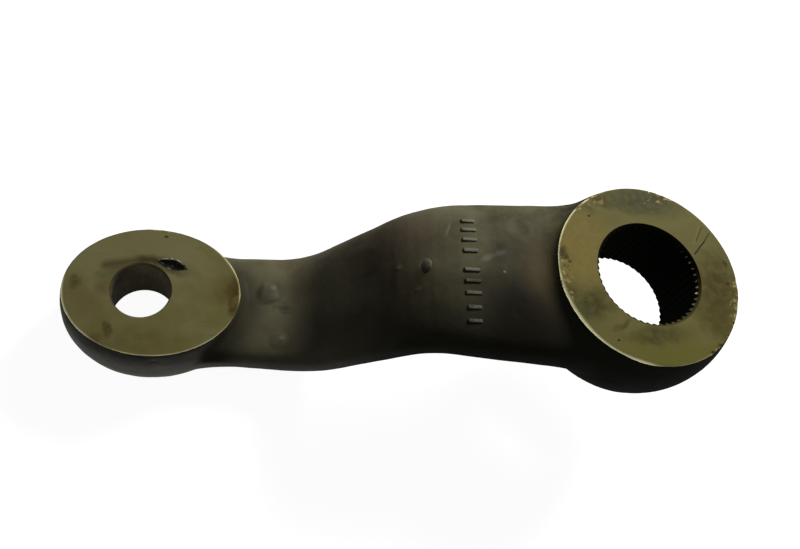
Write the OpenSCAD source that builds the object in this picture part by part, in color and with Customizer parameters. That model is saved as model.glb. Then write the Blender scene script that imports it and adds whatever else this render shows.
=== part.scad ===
// Pitman arm: a cranked steel drop forging with a serrated big eye and a taper-bored small eye.
// The origin is on the big eye's bore axis, in its upper machined face.
// X runs towards the small eye, and Z runs up the two parallel bore axes.

/* [Layout] */
// Distance between the two bore axes
centre_distance = 174; // [160:1:200]
// Height of the big eye's upper face above the small eye's
drop = 40; // [20:1:50]

/* [Big eye] */
// Diameter of the machined faces
big_face_d = 69; // [62:0.5:78]
// Height between the machined faces
big_height = 30; // [27:0.5:36]
// How far the forged wall swells out past the faces at its parting plane
big_bulge = 3.3; // [1:0.1:5]

/* [Serrated bore] */
// Number of serrations
tooth_count = 48; // [36:1:60]
// Diameter across the tooth tips at the upper face
tooth_tip_d = 37; // [33:0.5:40]
// Depth of a serration from tip to root
tooth_depth = 0.9; // [0.5:0.1:1.3]
// Depth over which the bore widens by 1 mm in diameter
bore_taper = 16; // [12:1:24]
// Width of the mouth chamfers outside the tooth roots
mouth_chamfer = 0.6; // [0.3:0.1:1.2]

/* [Small eye] */
// Length of the oval machined faces along the arm
small_face_l = 60; // [54:0.5:66]
// Width of the oval machined faces
small_face_w = 48; // [44:0.5:54]
// Distance from the bore axis to the oval's centre, towards the big eye
small_face_shift = 4; // [0:0.5:5]
// Height between the machined faces
small_height = 27.5; // [24:0.5:34]
// How far the forged wall swells out past the upper face at its parting plane
small_bulge = 1.5; // [0.5:0.1:3]
// How far the lower face's rim lies inside the upper one's
small_tuck = 1.2; // [0:0.1:2]

/* [Stud bore] */
// Diameter of the taper bore at the upper face
stud_d = 20; // [16:0.5:24]
// Depth over which the bore widens by 1 mm in diameter
stud_taper = 8; // [6:1:12]
// Width of the broken edge at either mouth
stud_chamfer = 0.5; // [0.2:0.1:1]

/* [Arm] */
// Width of the arm beside the big eye
arm_root_w = 62.5; // [54:0.5:64]
// Width of the arm beside the small eye
arm_tip_w = 41; // [34:0.5:42]
// How quickly the width falls off at first, where 1 is a straight taper
taper_power = 1.3; // [1:0.1:1.6]
// Thickness of the arm beside the big eye
arm_root_t = 22.5; // [18:0.5:24]
// Thickness of the arm beside the small eye
arm_tip_t = 18; // [14:0.5:19]
// Squareness of the section, where 2 is an ellipse
section_power = 3.3; // [2.5:0.1:5]
// Straight length between the big eye and the crank
root_straight = 28.5; // [22:0.5:36]
// Straight length between the crank and the small eye
tip_straight = 14.5; // [12:0.5:20]
// Radius of the crank's two bends, at the middle of the thickness
bend_radius = 26; // [18:1:32]
// Height of the arm's middle above the big eye's middle
root_lift = 0.7; // [0:0.1:1]
// Depth of the arm's middle below the small eye's middle
tip_sink = 1.9; // [0:0.1:2.2]
// Radius of the fillets where the arm's top and bottom meet the eyes
eye_fillet = 4.5; // [2:0.5:6]
// Widening of the arm's flanks where they run into the big eye
root_flare = 1.4; // [0.4:0.1:2]
// Widening of the arm's flanks where they run into the small eye
tip_flare = 2.2; // [0.5:0.1:3]
// Distance from an eye's wall at which a flare starts
flare_reach = 10; // [6:0.5:12]

/* [Hidden] */
$fn = 96;

// Stock that the face cuts remove from the forged blank, and the overlap of the cutting tools
stock = 1.5;
overcut = 1;

// Share of a tooth pitch that is flat at the tips and at the roots
tip_flat = 0.16;
root_flat = 0.2;

// Points round one section, round the oval boss and along each stretch of the arm
section_points = 40;
oval_points = 72;
boss_bands = 10;
bend_steps = 7;
ramp_steps = 4;
straight_steps = 5;

// Distances from an eye's wall at which the fillet has a section, in fillet radii
fillet_stations = [-0.5, 0, 0.12, 0.27, 0.45, 0.68, 1];
// Share of a quarter round that the fillet uses, so that it ends in a clear corner at the wall
fillet_share = 0.85;
// Least height of bare wall left above or below a fillet
bare_wall = 0.6;
// Depth of the arm's hidden ends inside the eyes
end_inset = 10;
// Depth inside the wall at which a flare is widest
flare_tuck = 2;
// Largest share of the room for the crank that its bends may take
bend_share = 0.95;

// Eye radii and heights
big_r = big_face_d / 2;
small_a = small_face_l / 2;
small_b = small_face_w / 2;
oval_x = centre_distance - small_face_shift;
big_wall_r = big_r + big_bulge / 2;
small_wall_a = small_a + small_bulge / 2;
small_wall_b = small_b + small_bulge / 2;
small_wall_x = oval_x - small_wall_a;
big_mid_z = -big_height / 2;
small_top_z = -drop;
small_mid_z = small_top_z - small_height / 2;

// Bore radii at the two faces
tip_r_top = tooth_tip_d / 2;
tip_r_bottom = tip_r_top + big_height / bore_taper / 2;
stud_r_top = stud_d / 2;
stud_r_bottom = stud_r_top + small_height / stud_taper / 2;

// Crank between the arm's two straight stretches
root_z = big_mid_z + root_lift;
tip_z = small_mid_z - tip_sink;
crank_x = big_wall_r + root_straight;
crank_end_x = small_wall_x - tip_straight;
crank_run = crank_end_x - crank_x;
crank_fall = root_z - tip_z;
bend_limit = (crank_run * crank_run + crank_fall * crank_fall) / (4 * crank_fall);
bend_r = min(bend_radius, bend_share * bend_limit);
bend_span = norm([crank_run, crank_fall - 2 * bend_r]);
crank_angle = atan2(crank_fall - 2 * bend_r, crank_run) + asin(2 * bend_r / bend_span);
ramp_length = sqrt(bend_span * bend_span - 4 * bend_r * bend_r);

// Fillet radii above and below the arm at each eye, limited by the height of the wall
root_step = [-root_z - arm_root_t / 2, root_z - arm_root_t / 2 + big_height];
tip_step = [small_top_z - tip_z - arm_tip_t / 2,
            tip_z - arm_tip_t / 2 - small_top_z + small_height];
root_fillet = [for (step = root_step) max(bare_wall, min(eye_fillet, step - bare_wall))];
tip_fillet = [for (step = tip_step) max(bare_wall, min(eye_fillet, step - bare_wall))];

// Radius and half-axes of the arcs that the sections follow beside the eyes
root_bow = big_wall_r + eye_fillet;
tip_bow = [small_wall_a + eye_fillet, small_wall_b + eye_fillet];

function clamp01(v) = max(0, min(1, v));
function ease(v) = clamp01(v) * clamp01(v) * (3 - 2 * clamp01(v));
function signed_pow(v, p) = sign(v) * pow(abs(v), p);
function arc_height(v) = sqrt(max(0, 1 - v * v));

// Share of the way along the arm, and its half-width and half-thickness there
function along(x) = clamp01((x - big_wall_r) / (small_wall_x - big_wall_r));
function half_width(x) = (arm_tip_w + (arm_root_w - arm_tip_w) * pow(1 - along(x), taper_power)) / 2;
function half_thickness(x) = (arm_root_t + (arm_tip_t - arm_root_t) * along(x)) / 2;

// Spine stations as [x, z, downward angle]
root_straight_stations = [
    [big_wall_r - end_inset, root_z, 0],
    for (s = fillet_stations) [big_wall_r + s * eye_fillet, root_z, 0],
    for (i = [1 : straight_steps - 1])
        [big_wall_r + eye_fillet + (root_straight - eye_fillet) * i / straight_steps, root_z, 0]
];
upper_bend_stations = [
    for (i = [0 : bend_steps])
        let (a = crank_angle * i / bend_steps)
        [crank_x + bend_r * sin(a), root_z - bend_r * (1 - cos(a)), a]
];
ramp_stations = [
    for (i = [1 : ramp_steps - 1])
        let (s = ramp_length * i / ramp_steps)
        [crank_x + bend_r * sin(crank_angle) + s * cos(crank_angle),
         root_z - bend_r * (1 - cos(crank_angle)) - s * sin(crank_angle),
         crank_angle]
];
lower_bend_stations = [
    for (i = [bend_steps : -1 : 0])
        let (a = crank_angle * i / bend_steps)
        [crank_end_x - bend_r * sin(a), tip_z + bend_r * (1 - cos(a)), a]
];
tip_straight_stations = [
    for (i = [1 : straight_steps - 1])
        [crank_end_x + (tip_straight - eye_fillet) * i / straight_steps, tip_z, 0],
    for (i = [len(fillet_stations) - 1 : -1 : 0])
        [small_wall_x - fillet_stations[i] * eye_fillet, tip_z, 0],
    [small_wall_x + end_inset, tip_z, 0]
];
spine = concat(root_straight_stations, upper_bend_stations, ramp_stations,
               lower_bend_stations, tip_straight_stations);

// How far a section leans round an eye at the side distance y
function root_lean(x, y) =
    (1 - ease((x - root_bow) / (crank_x - root_bow)))
    * root_bow * (arc_height(y / root_bow) - 1);
function tip_lean(x, y) =
    (1 - ease((small_wall_x - eye_fillet - x) / (tip_straight - eye_fillet)))
    * tip_bow[0] * (1 - arc_height(y / tip_bow[1]));

// Distance in plan from the walls of the two eyes
function from_big_wall(x, y) = norm([x, y]) - big_wall_r;
function from_small_wall(x, y) =
    let (share = norm([(x - oval_x) / small_wall_a, y / small_wall_b]))
    norm([x - oval_x, y]) * (1 - 1 / share);

// Height of a fillet of radius r at the distance d from a wall, falling away again inside the wall
function fillet_rise(d, r) =
    let (left = max(0, fillet_share * r - abs(d)))
    r - sqrt(r * r - left * left);

// Widening of a flank at the distance d from a wall, up to w, falling away again deep inside the wall
function flare_rise(d, w) =
    w * (d > -flare_tuck
        ? pow(clamp01((flare_reach - d) / (flare_reach + flare_tuck)), 2)
        : clamp01((d + end_inset) / (end_inset - flare_tuck)));

// One point of a section, at the angle v round it
function skin_point(station, v) =
    let (
        x = station[0],
        w = half_width(x),
        h = half_thickness(x),
        y = w * signed_pow(cos(v), 2 / section_power),
        t = h * signed_pow(sin(v), 2 / section_power),
        normal = [signed_pow(cos(v), 2 - 2 / section_power) / w,
                  signed_pow(sin(v), 2 - 2 / section_power) / h],
        out = normal / norm(normal),
        lean_x = x + root_lean(x, y) + tip_lean(x, y),
        side = sin(v) > 0 ? 0 : 1,
        flank = pow(cos(v), 2),
        root_d = from_big_wall(lean_x, y),
        tip_d = from_small_wall(lean_x, y),
        fillet = fillet_rise(root_d, root_fillet[side]) + fillet_rise(tip_d, tip_fillet[side]),
        flare = flare_rise(root_d, root_flare) + flare_rise(tip_d, tip_flare),
        rise = fillet + (flare - fillet) * flank,
        lift = t + rise * out[1]
    )
    [lean_x + lift * sin(station[2]), y + rise * out[0], station[1] + lift * cos(station[2])];

// Closed skin through rings of equal length, with a middle point at either end
module loft(rings, first_point, last_point) {
    n = len(rings[0]);
    last = len(rings) - 1;
    points = concat([for (ring = rings) each ring], [first_point, last_point]);
    sides = [
        for (i = [0 : last - 1], j = [0 : n - 1])
            let (a = i * n + j, b = i * n + (j + 1) % n)
            each [[a, b + n, b], [a, a + n, b + n]]
    ];
    caps = [
        for (j = [0 : n - 1])
            let (k = (j + 1) % n)
            each [[j, k, len(points) - 2], [last * n + k, last * n + j, len(points) - 1]]
    ];
    polyhedron(points, concat(sides, caps), convexity = 6);
}

module cranked_arm() {
    rings = [
        for (station = spine)
            [for (j = [0 : section_points - 1]) skin_point(station, 360 * j / section_points)]
    ];
    first = spine[0];
    last = spine[len(spine) - 1];
    loft(rings, [first[0], 0, first[1]], [last[0], 0, last[1]]);
}

// Levels of a boss blank from bottom to top, as shares of half its height from the parting plane
function blank_levels(height) = [
    for (i = [0 : boss_bands]) (1 + 2 * stock / height) * (2 * i / boss_bands - 1)
];

// Round forged boss, widest at its parting plane, with stock left on both faces
module big_boss() {
    wall = [
        for (t = blank_levels(big_height))
            [big_r + big_bulge * (1 - t * t), big_mid_z + t * big_height / 2]
    ];
    rotate_extrude()
        polygon(concat([[0, -big_height - stock]], wall, [[0, stock]]));
}

// Oval forged boss, widest at its parting plane, with stock left on both faces
module small_boss() {
    levels = blank_levels(small_height);
    rings = [
        for (t = levels)
            let (out = small_bulge - (small_bulge + (t < 0 ? small_tuck : 0)) * t * t)
            [for (j = [0 : oval_points - 1])
                let (v = 360 * j / oval_points)
                [oval_x + (small_a + out) * cos(v),
                 (small_b + out) * sin(v),
                 small_mid_z + t * small_height / 2]]
    ];
    loft(rings, [oval_x, 0, rings[0][0][2]], [oval_x, 0, rings[boss_bands][0][2]]);
}

// Point at the radius r, so many tooth pitches round the bore
function pitch_point(r, pitches) =
    let (turn = 360 * pitches / tooth_count)
    r * [cos(turn), sin(turn)];

// Outline of the serrated bore at the tip radius r
function serration_outline(r) = [
    for (i = [0 : tooth_count - 1])
        each [
            for (side = [-1, 1]) pitch_point(r + tooth_depth, i + side * root_flat / 2),
            for (side = [-1, 1]) pitch_point(r, i + 0.5 + side * tip_flat / 2)
        ]
];

module serrated_bore() {
    tool_h = big_height + 2 * overcut;
    widening = overcut / bore_taper / 2;
    translate([0, 0, -big_height - overcut])
        linear_extrude(height = tool_h, scale = (tip_r_top - widening) / (tip_r_bottom + widening))
            polygon(serration_outline(tip_r_bottom + widening));
}

// 45 degree mouth of a bore: widest radius r at the face, at the height z, cut down or up
module mouth(r, z, depth, up) {
    translate([0, 0, z])
        mirror([0, 0, up ? 1 : 0])
            translate([0, 0, -depth])
                cylinder(h = depth + overcut, r1 = r - depth, r2 = r + overcut);
}

module big_eye_cuts() {
    mouth_depth = mouth_chamfer + tooth_depth;
    cutter_r = big_r + big_height;
    cylinder(h = 2 * stock, r = cutter_r);
    translate([0, 0, -big_height - 2 * stock])
        cylinder(h = 2 * stock, r = cutter_r);
    serrated_bore();
    mouth(tip_r_top + mouth_depth, 0, mouth_depth, false);
    mouth(tip_r_bottom + mouth_depth, -big_height, mouth_depth, true);
}

module small_eye_cuts() {
    cutter_r = small_a + small_face_shift + stock;
    widening = overcut / stud_taper / 2;
    translate([centre_distance, 0, 0]) {
        translate([0, 0, small_top_z])
            cylinder(h = 2 * stock, r = cutter_r);
        translate([0, 0, small_top_z - small_height - 2 * stock])
            cylinder(h = 2 * stock, r = cutter_r);
        translate([0, 0, small_top_z - small_height - overcut])
            cylinder(
                h = small_height + 2 * overcut,
                r1 = stud_r_bottom + widening,
                r2 = stud_r_top - widening
            );
        mouth(stud_r_top + stud_chamfer, small_top_z, stud_chamfer, false);
        mouth(stud_r_bottom + stud_chamfer, small_top_z - small_height, stud_chamfer, true);
    }
}

module pitman_arm() {
    color([0.20, 0.19, 0.15])
        difference() {
            union() {
                cranked_arm();
                big_boss();
                small_boss();
            }
            big_eye_cuts();
            small_eye_cuts();
        }
}

pitman_arm();
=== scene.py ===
"""Pitman arm: a cranked steel forging with a serrated eye and a ball-stud eye, used and worn.

The piece is made here in the order a workshop makes it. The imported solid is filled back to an
uncut blank, the blank gets its forged skin, and then the eye faces are milled, the bores are cut
and the knocks are put in. Lengths are millimetres unless a name says otherwise.
"""
import math

import bmesh
import bpy
import numpy as np
from mathutils import Matrix, Vector, noise


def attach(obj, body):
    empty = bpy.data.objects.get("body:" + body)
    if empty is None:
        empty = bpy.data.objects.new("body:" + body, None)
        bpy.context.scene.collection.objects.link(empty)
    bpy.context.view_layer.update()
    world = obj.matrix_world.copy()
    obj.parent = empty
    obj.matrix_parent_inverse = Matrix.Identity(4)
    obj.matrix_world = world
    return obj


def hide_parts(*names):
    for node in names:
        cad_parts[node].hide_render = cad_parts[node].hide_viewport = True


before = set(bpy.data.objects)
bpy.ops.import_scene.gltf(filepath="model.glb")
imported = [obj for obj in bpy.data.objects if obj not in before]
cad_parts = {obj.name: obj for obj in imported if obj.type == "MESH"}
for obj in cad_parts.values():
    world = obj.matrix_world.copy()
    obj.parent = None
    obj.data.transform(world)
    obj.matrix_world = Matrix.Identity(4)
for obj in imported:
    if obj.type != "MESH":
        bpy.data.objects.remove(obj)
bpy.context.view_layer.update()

MM = 0.001

# The big eye, on the frame's own axis
BIG_FACE_R = 34.5
BIG_TOP = 0.0
BIG_FOOT = -30.0
BIG_WALL_SLOPE = 0.44
TIP_R = 18.5
TOOTH_TAPER = 1 / 32
TOOTH_DEPTH = 0.9
TOOTH_COUNT = 48
TIP_FLAT = 0.16
ROOT_FLAT = 0.20
MOUTH_R = 20.0
MOUTH_DEPTH = 1.5

# The small eye: an oval face with the stud bore off its middle
SMALL_MID_X = 170.0
SMALL_A = 30.0
SMALL_B = 24.0
SMALL_TUCK = 1.2
SMALL_TOP = -40.0
SMALL_FOOT = -67.5
SMALL_WALL_SLOPE = 0.22
STUD_X = 174.0
STUD_R = 10.0
STUD_TAPER = 1 / 16
STUD_CHAMFER = 0.5

# The ovals of the faces: middle and half-lengths
BIG_OVAL = (0.0, BIG_FACE_R, BIG_FACE_R)
SMALL_OVAL = (SMALL_MID_X, SMALL_A, SMALL_B)
TUCKED_OVAL = (SMALL_MID_X, SMALL_A - SMALL_TUCK, SMALL_B - SMALL_TUCK)

# The blank: the metal left on each face and how it is rooted in the eye, the plugs in the bores,
# and the grid and smoothing that make one skin of it
STOCK = 2.5
STOCK_INSET = 1.0
STOCK_SUNK = 2.0
BIG_PLUG_R = 22.0
SMALL_PLUG_R = 13.5
VOXEL = 0.8
SMOOTH_FACTOR = 0.5
SMOOTH_PASSES = 7
MERGE_WITHIN = 0.0001
SEED_SHIFT = Vector((11.3, 4.7, 8.9))

# Steps round a circle or an oval
PLUG_STEPS = 96
OVAL_STEPS = 120
STUD_STEPS = 128
EYE_STEPS = 192
RIM_STEPS = 480


# Meshes

def in_metres(points):
    return [tuple(c * MM for c in point) for point in points]


def mesh_from(name, points, faces):
    """A closed mesh from points in millimetres, with its faces turned outwards."""
    mesh = bpy.data.meshes.new(name)
    mesh.from_pydata(in_metres(points), [], faces)
    shape = bmesh.new()
    shape.from_mesh(mesh)
    bmesh.ops.recalc_face_normals(shape, faces=shape.faces)
    shape.to_mesh(mesh)
    shape.free()
    return mesh


def poured(name, shape):
    """A new mesh of what was shaped; the working copy is freed."""
    mesh = bpy.data.meshes.new(name)
    shape.to_mesh(mesh)
    shape.free()
    return mesh


def shown(name, mesh):
    """An object of this mesh at the origin, in the scene."""
    thing = bpy.data.objects.new(name, mesh)
    bpy.context.scene.collection.objects.link(thing)
    return thing


def settled(thing):
    """A plain mesh of the object as its modifiers leave it; the object itself is removed."""
    bpy.context.view_layer.update()
    depsgraph = bpy.context.evaluated_depsgraph_get()
    mesh = bpy.data.meshes.new_from_object(thing.evaluated_get(depsgraph))
    bpy.data.objects.remove(thing)
    return mesh


def stacked(name, rings):
    """A closed skin through rings of equal count, from the first ring's cap to the last one's."""
    count = len(rings[0])
    points = [p for ring in rings for p in ring]
    faces = [tuple(reversed(range(count)))]
    for k in range(len(rings) - 1):
        for i in range(count):
            a, b = k * count + i, k * count + (i + 1) % count
            faces.append((a, b, b + count, a + count))
    faces.append(tuple(range((len(rings) - 1) * count, len(rings) * count)))
    return mesh_from(name, points, faces)


def oval_ring(mid_x, a, b, z, count):
    """Points round an upright oval with half-lengths a and b."""
    turns = [2 * math.pi * i / count for i in range(count)]
    return [(mid_x + a * math.cos(t), b * math.sin(t), z) for t in turns]


def turned(name, mid_x, profile, count):
    """A solid of revolution on an upright axis, through (radius, height) pairs."""
    return stacked(name, [oval_ring(mid_x, r, r, z, count) for r, z in profile])


def joined(name, meshes):
    """One mesh of several closed shells."""
    shape = bmesh.new()
    for mesh in meshes:
        shape.from_mesh(mesh)
    return poured(name, shape)


def smooth_out(thing, name, passes, group=""):
    """Relaxes the object's skin, all over or only where a vertex group says."""
    flow = thing.modifiers.new(name, "SMOOTH")
    flow.factor = SMOOTH_FACTOR
    flow.iterations = passes
    flow.vertex_group = group


def smoothstep(low, high, value):
    """0 up to low, 1 from high on, and smooth between."""
    share = min(1.0, max(0.0, (value - low) / (high - low)))
    return share * share * (3 - 2 * share)


# Node trees, for shaders and Geometry Nodes alike

class Wire:
    """A node's output. Sums on wires and numbers add Math nodes to the wire's own tree."""

    def __init__(self, tree, socket):
        self.tree = tree
        self.socket = socket

    def __add__(self, other):
        return self.tree.math("ADD", self, other)

    def __radd__(self, other):
        return self.tree.math("ADD", other, self)

    def __sub__(self, other):
        return self.tree.math("SUBTRACT", self, other)

    def __rsub__(self, other):
        return self.tree.math("SUBTRACT", other, self)

    def __mul__(self, other):
        return self.tree.math("MULTIPLY", self, other)

    def __rmul__(self, other):
        return self.tree.math("MULTIPLY", other, self)

    def __truediv__(self, other):
        return self.tree.math("DIVIDE", self, other)

    def __or__(self, other):
        return self.tree.math("MAXIMUM", self, other)

    def __and__(self, other):
        return self.tree.math("MINIMUM", self, other)


class Tree:
    """A node tree that grows one node at a time."""

    def __init__(self, nodes):
        self.nodes = nodes

    def join(self, value, socket):
        """Links a wire, or each wire in a list, to the socket, or sets the socket's own value."""
        if isinstance(value, list):
            for wire in value:
                self.join(wire, socket)
        elif isinstance(value, Wire):
            self.nodes.links.new(value.socket, socket)
        elif isinstance(value, tuple) and socket.type == "RGBA":
            socket.default_value = (*value, 1.0)
        else:
            socket.default_value = value

    def add(self, kind, settings=None, sockets=None, output=0):
        """A node of this type, with its settings made first, then its sockets' values or links."""
        node = self.nodes.nodes.new(kind)
        for key, value in (settings or {}).items():
            setattr(node, key, value)
        for key, value in (sockets or {}).items():
            self.join(value, node.inputs[key])
        return Wire(self, node.outputs[output]) if node.outputs else None

    def math(self, operation, first, second):
        return self.add("ShaderNodeMath", {"operation": operation}, {0: first, 1: second})

    def vector_math(self, operation, first, second=None, scale=None, output=0):
        sockets = {0: first}
        if second is not None:
            sockets[1] = second
        if scale is not None:
            sockets["Scale"] = scale
        return self.add("ShaderNodeVectorMath", {"operation": operation}, sockets, output)

    def parts(self, vector):
        """The vector's x, y and z."""
        return [self.add("ShaderNodeSeparateXYZ", None, {0: vector}, i) for i in range(3)]


class Pattern(Tree):
    """A Geometry Nodes tree with named inputs, which ends in Realize Instances and Set Material."""

    def __init__(self, name, inputs):
        super().__init__(bpy.data.node_groups.new(name, "GeometryNodeTree"))
        face = self.nodes.interface
        face.new_socket("Geometry", in_out="OUTPUT", socket_type="NodeSocketGeometry")
        for label, kind in inputs.items():
            face.new_socket(label, in_out="INPUT", socket_type="NodeSocket" + kind)

    def value(self, label):
        """What is set for one of the tree's inputs."""
        return self.add("NodeGroupInput", output=label)

    def shape_of(self, label):
        """The geometry of the object that is set for an input."""
        sockets = {"Object": self.value(label)}
        return self.add("GeometryNodeObjectInfo", None, sockets, output="Geometry")

    def vector(self, x=0.0, y=0.0, z=0.0):
        return self.add("ShaderNodeCombineXYZ", None, {0: x, 1: y, 2: z})

    def close(self, geometry, material):
        """Ends the tree in plain geometry of one material."""
        plain = self.add("GeometryNodeRealizeInstances", None, {"Geometry": geometry})
        sockets = {"Geometry": plain, "Material": material}
        coated = self.add("GeometryNodeSetMaterial", None, sockets)
        self.add("NodeGroupOutput", None, {0: coated})

    def grown(self, name, values):
        """The mesh that the tree makes from these values."""
        carrier = shown(name, bpy.data.meshes.new(name))
        modifier = carrier.modifiers.new(name, "NODES")
        modifier.node_group = self.nodes
        for item in self.nodes.interface.items_tree:
            if item.in_out == "INPUT":
                modifier[item.identifier] = values[item.name]
        return settled(carrier)


class Finish(Tree):
    """One material, with the kinds of pattern that this piece shows, placed in millimetres."""

    def __init__(self, name, **fixed):
        self.material = bpy.data.materials.new(name)
        self.material.use_nodes = True
        super().__init__(self.material.node_tree)
        self.shader = self.nodes.nodes["Principled BSDF"]
        for label, value in fixed.items():
            self.feed(label.replace("_", " "), value)
        metres = self.add("ShaderNodeTexCoord", output="Object")
        self.place = self.vector_math("SCALE", metres, scale=1 / MM)
        self.x, self.y, self.z = self.parts(self.place)

    def feed(self, label, value):
        self.join(value, self.shader.inputs[label])

    def painted(self, label):
        """What the mesh keeps under this name at each of its points."""
        return self.add("ShaderNodeAttribute", {"attribute_name": label}, output="Fac")

    def grain(self, size, detail, roughness=0.55, stretch=(1, 1, 1), shift=0.0):
        """Noise from 0 to 1 whose patches are about this many millimetres across."""
        scale = tuple(1 / (size * s) for s in stretch)
        start = (shift, shift * 0.7, -shift)
        sockets = {"Vector": self.place, "Location": start, "Scale": scale}
        where = self.add("ShaderNodeMapping", None, sockets)
        sockets = {"Vector": where, "Scale": 1.0, "Detail": detail, "Roughness": roughness}
        return self.add("ShaderNodeTexNoise", None, sockets)

    def rise(self, value, low, high):
        """0 below low, 1 above high, and smooth between; low may be the larger."""
        return self.add(
            "ShaderNodeMapRange",
            {"interpolation_type": "SMOOTHSTEP"},
            {"Value": value, "From Min": low, "From Max": high},
        )

    def mix(self, share, first, second):
        """Two colours, or a colour and a wire, mixed by share."""
        sockets = {0: share, 6: first, 7: second}
        return self.add("ShaderNodeMix", {"data_type": "RGBA"}, sockets, output=2)

    def wobble(self, size, reach):
        """The place, shaken by up to half of reach, so that a mark's outline is not ruled."""
        where = self.vector_math("SCALE", self.place, scale=1 / size)
        sockets = {"Vector": where, "Scale": 1.0, "Detail": 3.0}
        shake = self.add("ShaderNodeTexNoise", None, sockets, output=1)
        level = self.vector_math("SUBTRACT", shake, (0.5, 0.5, 0.5))
        return self.vector_math("ADD", self.place, self.vector_math("SCALE", level, scale=reach))

    def spot(self, where, x, y, long, wide, turn, soft):
        """1 inside an oval mark with these half-lengths, 0 outside it."""
        sockets = {"Vector": self.flat(where), "Location": (x, y, 0.0)}
        sockets["Rotation"] = (0.0, 0.0, math.radians(turn))
        sockets["Scale"] = (long, wide, 1.0)
        own = self.add("ShaderNodeMapping", {"vector_type": "TEXTURE"}, sockets)
        far = self.vector_math("LENGTH", own, output=1)
        return self.rise(far, 1 + soft / 2, 1 - soft / 2)

    def stroke(self, where, x0, y0, x1, y1, width, soft):
        """1 along a straight mark of this width, 0 off it."""
        along = (x1 - x0, y1 - y0, 0.0)
        length2 = along[0] ** 2 + along[1] ** 2
        off = self.vector_math("SUBTRACT", self.flat(where), (x0, y0, 0.0))
        share = self.vector_math("DOT_PRODUCT", off, along, output=1) / length2
        share = (share | 0.0) & 1.0
        foot = self.vector_math("SCALE", along, scale=share)
        far = self.vector_math("LENGTH", self.vector_math("SUBTRACT", off, foot), output=1)
        return self.rise(far, width * (0.5 + soft / 2), width * (0.5 - soft / 2))

    def flat(self, where):
        return self.vector_math("MULTIPLY", where, (1.0, 1.0, 0.0))

    def bump(self, height, reach, strength):
        sockets = {"Strength": strength, "Distance": reach * MM, "Height": height}
        self.feed("Normal", self.add("ShaderNodeBump", None, sockets))


# The blank

def cad_copy(node):
    """The node's own solid as one closed mesh: its loose triangles are merged."""
    shape = bmesh.new()
    shape.from_mesh(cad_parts[node].data)
    bmesh.ops.remove_doubles(shape, verts=shape.verts, dist=MERGE_WITHIN * MM)
    return poured(node + "_solid", shape)


def plug(name, mid_x, radius, top, foot):
    """A round plug that fills a bore, up to the metal left on the faces."""
    return turned(name, mid_x, [(radius, foot - STOCK), (radius, top + STOCK)], PLUG_STEPS)


def face_stock(name, mid_x, a, b, slope, top, foot, tuck, steps):
    """The metal left on an eye's two faces: rooted in the eye, and leaning in as its wall does."""

    def ring(z, inset):
        lean = slope * max(z - top, foot - z, 0.0) + inset
        return oval_ring(mid_x, a - lean, b - lean, z, steps)

    upper = [ring(top - STOCK_SUNK, STOCK_INSET), ring(top, 0.0), ring(top + STOCK, 0.0)]
    lower = [ring(foot - STOCK, tuck), ring(foot, tuck)]
    lower.append(ring(foot + STOCK_SUNK, tuck + STOCK_INSET))
    return [stacked(name + "_top", upper), stacked(name + "_foot", lower)]


def uncut_blank():
    """The forging before any machining: bores filled, and stock left on the four eye faces."""
    big = (*BIG_OVAL, BIG_WALL_SLOPE, BIG_TOP, BIG_FOOT, 0.0)
    small = (*SMALL_OVAL, SMALL_WALL_SLOPE, SMALL_TOP, SMALL_FOOT, SMALL_TUCK)
    metal = [cad_copy("pitman_arm"), plug("big_plug", 0.0, BIG_PLUG_R, BIG_TOP, BIG_FOOT)]
    metal += face_stock("big_stock", *big, EYE_STEPS)
    metal.append(plug("small_plug", STUD_X, SMALL_PLUG_R, SMALL_TOP, SMALL_FOOT))
    metal += face_stock("small_stock", *small, OVAL_STEPS)
    blank = shown("blank", joined("blank", metal))
    skin = blank.modifiers.new("one_skin", "REMESH")
    skin.mode = "VOXEL"
    skin.voxel_size = VOXEL * MM
    smooth_out(blank, "forged_flow", SMOOTH_PASSES)
    return eased(settled(blank))


# Corners between the arm and its eyes: how far outside a face they lie, how wide a band is eased,
# and how far from the face planes that stays
CORNER_OUT = 3.0
CORNER_REACH = 10.0
CORNER_CLEAR = 4.0
CORNER_PASSES = 70


def corner_share(x, y, z):
    """How much of the easing a point of the blank takes."""
    shares = [0.0]
    for top, foot in zip(FACES[:2], FACES[2:]):
        off = abs(top.offset(x, y)[0] - CORNER_OUT)
        clear = min(top.z - z, z - foot.z) / CORNER_CLEAR
        shares.append((1 - smoothstep(0.4, 1.0, off / CORNER_REACH)) * smoothstep(0.2, 1.0, clear))
    return max(shares) if 0 < x < SMALL_MID_X else 0.0


def eased(mesh):
    """The blank with the corners rounded out where the arm runs into its eyes."""
    blank = shown("eased", mesh)
    corners = blank.vertex_groups.new(name="corners")
    for vertex in mesh.vertices:
        share = corner_share(*(vertex.co / MM))
        if share > 0:
            corners.add([vertex.index], share, "REPLACE")
    smooth_out(blank, "corner_flow", CORNER_PASSES, corners.name)
    return settled(blank)


# Dents in the skin of the arm: x, y, radius, depth, which is below zero for a lump of scale
DENTS = [
    (130.0, -4.2, 4.2, -0.30),
    (128.0, -6.4, 1.8, -0.16),
    (124.4, 1.2, 2.6, 0.18),
    (125.4, 13.6, 3.6, -0.28),
    (124.2, 13.0, 1.2, -0.20),
    (88.4, -1.8, 1.4, -0.18),
    (82.8, 7.4, 1.5, -0.14),
    (53.3, 1.6, 0.9, -0.16),
    (46.5, -16.0, 4.2, 0.22),
    (99.0, -9.0, 5.0, 0.20),
]


# Where a dent's flat floor ends and its raised lip starts, crests and ends, as shares of its
# radius, and the lip's height as a share of the depth
DENT_FLOOR = 0.25
LIP_START = 0.80
LIP_CREST = 1.05
LIP_END = 1.35
LIP_HEIGHT = 0.25

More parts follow.
